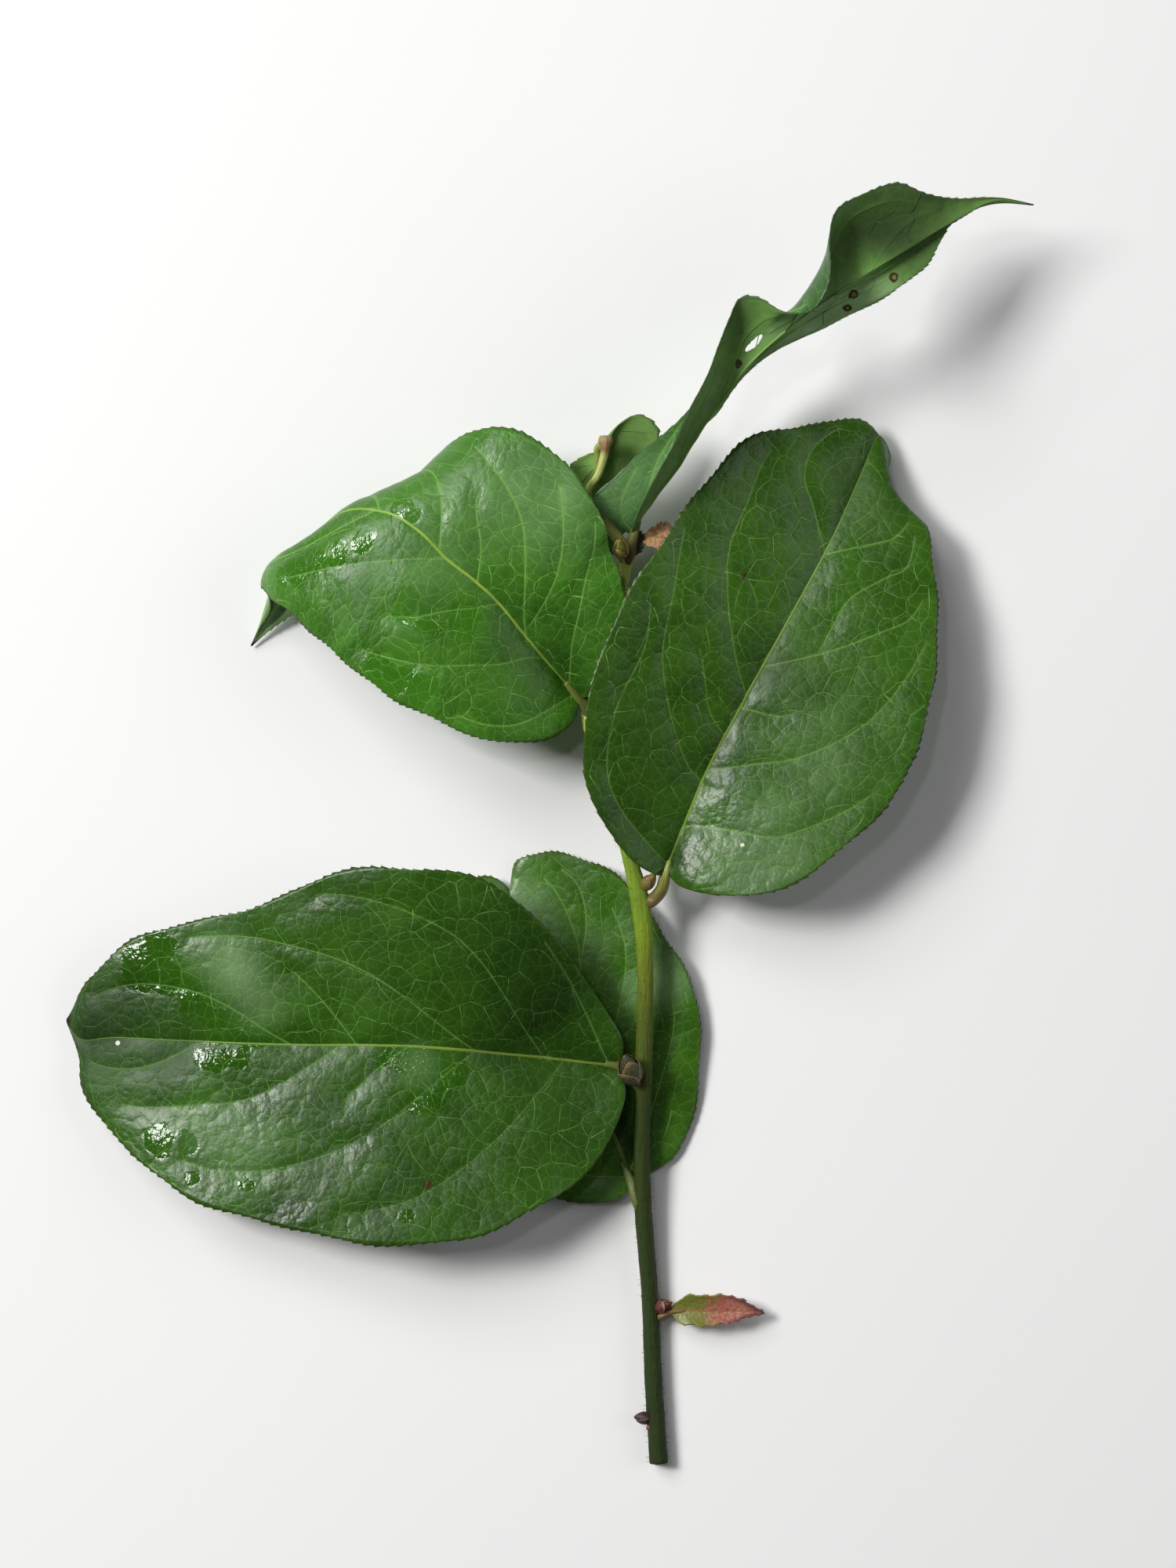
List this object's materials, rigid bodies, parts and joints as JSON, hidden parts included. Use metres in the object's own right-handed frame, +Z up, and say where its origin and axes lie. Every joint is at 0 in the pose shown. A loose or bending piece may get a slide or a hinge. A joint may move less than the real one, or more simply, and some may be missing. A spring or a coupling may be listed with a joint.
{
  "type": "cut leafy salal stem",
  "caption": "Cut salal stem lying flat, with broad grown leaves standing alternately on a zigzag stem, a young folded leaf, axillary buds and dry scales.",
  "frame": {"origin": "middle of the footprint, on the surface that the stem lies on", "axes": "+Y from the cut end toward the growing tip, +X to the right of the stem seen from above, +Z up"},
  "size_m": [0.1756, 0.2318, 0.0376],
  "materials": {
    "green_stem": "satin green bark, yellow-green toward the tip",
    "leaf": "waxy and glossy above, matte olive below",
    "young_leaf": "soft, pink over green",
    "bud": "satin brown scales",
    "dry_scale": "dry and papery"
  },
  "bodies": {
    "root": {"main_stem": "green_stem", "leaf_lower_back": "leaf", "leaf_lower_left": "leaf", "leaf_right": "leaf", "leaf_upper_left": "leaf", "leaf_top": "leaf", "leaf_terminal": "leaf", "young_leaf": "young_leaf", "bud_lowest": "bud", "bud_young_leaf": "bud", "bud_lower_left": "bud", "bud_right": "bud", "bud_upper_left": "bud", "bud_top": "bud", "withered_scale": "dry_scale", "dry_bract": "dry_scale"}
  },
  "joints": []
}
